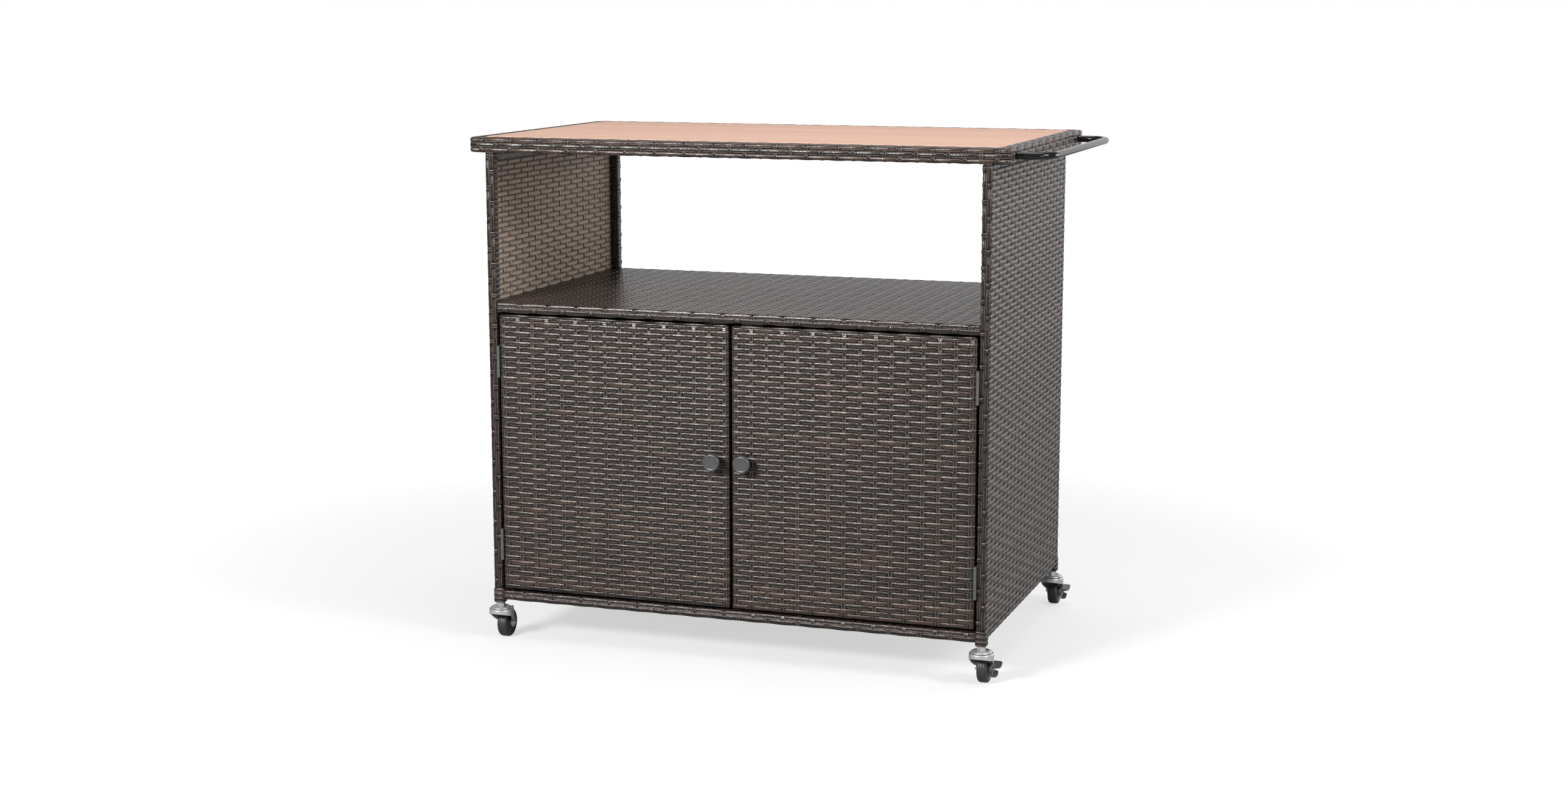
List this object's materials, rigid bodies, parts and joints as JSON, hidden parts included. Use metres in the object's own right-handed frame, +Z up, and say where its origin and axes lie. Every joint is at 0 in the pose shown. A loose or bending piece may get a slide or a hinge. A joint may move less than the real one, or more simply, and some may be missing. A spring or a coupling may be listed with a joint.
{
  "type": "serving cart",
  "caption": "Woven serving cart on casters with a wood top, an open shelf bay, a cabinet behind hinged doors and a push handle.",
  "frame": {"origin": "floor level, under the middle of the whole cart with its handle", "axes": "+X towards the push handle, +Y from the doors to the back, +Z up"},
  "size_m": [1.026, 0.6286, 0.9],
  "materials": {
    "woven_strand": "flat half-round resin strand, dark brown with lighter edges",
    "board_wood": "oiled pale board with fine grain",
    "handle_coat": "dark satin coat",
    "wheel_rubber": "satin black rubber",
    "brake_coat": "grey-green coat",
    "caster_zinc": "bright zinc",
    "knob_metal": "satin",
    "hinge_steel": "satin",
    "catch_plastic": "matte",
    "magnet": "matte",
    "bright_steel": "satin",
    "frame_coat": "dark powder coat"
  },
  "bodies": {
    "cart": {"side_frame_left": "frame_coat", "side_weave_left": "woven_strand", "side_frame_right": "frame_coat", "side_weave_right": "woven_strand", "post_wraps": "woven_strand", "shelf_frame": "frame_coat", "shelf_weave": "woven_strand", "floor_frame": "frame_coat", "floor_weave": "woven_strand", "back_frame": "frame_coat", "back_weave": "woven_strand", "tabletop_frame": "frame_coat", "tabletop_border": "woven_strand", "worktop_board": "board_wood", "push_handle": "handle_coat", "hinge_frame_leaf_left": "hinge_steel", "magnetic_catch_left": "catch_plastic", "hinge_frame_leaf_right": "hinge_steel", "magnetic_catch_right": "catch_plastic", "catch_magnets": "magnet", "caster_stem_front_left": "caster_zinc", "caster_stem_front_right": "caster_zinc", "caster_stem_back_left": "caster_zinc", "caster_stem_back_right": "caster_zinc"},
    "door_left": {"door_frame_left": "frame_coat", "door_weave_left": "woven_strand", "door_knob_left": "knob_metal", "knob_screw_left": "bright_steel", "strike_plate_left": "bright_steel", "hinge_door_leaf_left": "hinge_steel"},
    "door_right": {"door_frame_right": "frame_coat", "door_weave_right": "woven_strand", "door_knob_right": "knob_metal", "knob_screw_right": "bright_steel", "strike_plate_right": "bright_steel", "hinge_door_leaf_right": "hinge_steel"},
    "caster_front_left": {"caster_fork_front_left": "caster_zinc", "caster_axle_front_left": "caster_zinc"},
    "wheel_front_left": {"caster_wheel_front_left": "wheel_rubber"},
    "caster_front_right": {"caster_fork_front_right": "caster_zinc", "caster_axle_front_right": "caster_zinc"},
    "wheel_front_right": {"caster_wheel_front_right": "wheel_rubber"},
    "caster_back_left": {"caster_fork_back_left": "caster_zinc", "caster_axle_back_left": "caster_zinc"},
    "wheel_back_left": {"caster_wheel_back_left": "wheel_rubber"},
    "caster_back_right": {"caster_fork_back_right": "caster_zinc", "caster_axle_back_right": "caster_zinc"},
    "wheel_back_right": {"caster_wheel_back_right": "wheel_rubber"},
    "brake_front_right": {"caster_brake_front_right": "brake_coat"},
    "brake_back_right": {"caster_brake_back_right": "brake_coat"}
  },
  "joints": [
    {"name": "door_left_hinge", "type": "hinge", "parent": "cart", "child": "door_left", "pos_m": [-0.4644, -0.2911, 0.3435], "axis": [0, 0, -1], "range_deg": [0, 170]},
    {"name": "door_right_hinge", "type": "hinge", "parent": "cart", "child": "door_right", "pos_m": [0.4014, -0.2911, 0.3435], "axis": [0, 0, 1], "range_deg": [0, 170]},
    {"name": "caster_front_left_swivel", "type": "hinge", "parent": "cart", "child": "caster_front_left", "pos_m": [-0.4747, -0.2805, 0.057], "axis": [0, 0, 1], "continuous": true},
    {"name": "wheel_front_left_roll", "type": "hinge", "parent": "caster_front_left", "child": "wheel_front_left", "pos_m": [-0.4747, -0.2565, 0.0254], "axis": [1, 0, 0], "continuous": true},
    {"name": "caster_front_right_swivel", "type": "hinge", "parent": "cart", "child": "caster_front_right", "pos_m": [0.4117, -0.2805, 0.057], "axis": [0, 0, 1], "continuous": true},
    {"name": "wheel_front_right_roll", "type": "hinge", "parent": "caster_front_right", "child": "wheel_front_right", "pos_m": [0.4117, -0.2565, 0.0254], "axis": [1, 0, 0], "continuous": true},
    {"name": "brake_front_right_lever", "type": "hinge", "parent": "caster_front_right", "child": "brake_front_right", "pos_m": [0.4117, -0.2565, 0.0254], "axis": [-1, 0, 0], "range_deg": [0, 20]},
    {"name": "caster_back_left_swivel", "type": "hinge", "parent": "cart", "child": "caster_back_left", "pos_m": [-0.4747, 0.2649, 0.057], "axis": [0, 0, 1], "continuous": true},
    {"name": "wheel_back_left_roll", "type": "hinge", "parent": "caster_back_left", "child": "wheel_back_left", "pos_m": [-0.4747, 0.2889, 0.0254], "axis": [1, 0, 0], "continuous": true},
    {"name": "caster_back_right_swivel", "type": "hinge", "parent": "cart", "child": "caster_back_right", "pos_m": [0.4117, 0.2649, 0.057], "axis": [0, 0, 1], "continuous": true},
    {"name": "wheel_back_right_roll", "type": "hinge", "parent": "caster_back_right", "child": "wheel_back_right", "pos_m": [0.4117, 0.2889, 0.0254], "axis": [1, 0, 0], "continuous": true},
    {"name": "brake_back_right_lever", "type": "hinge", "parent": "caster_back_right", "child": "brake_back_right", "pos_m": [0.4117, 0.2889, 0.0254], "axis": [-1, 0, 0], "range_deg": [0, 20]}
  ]
}
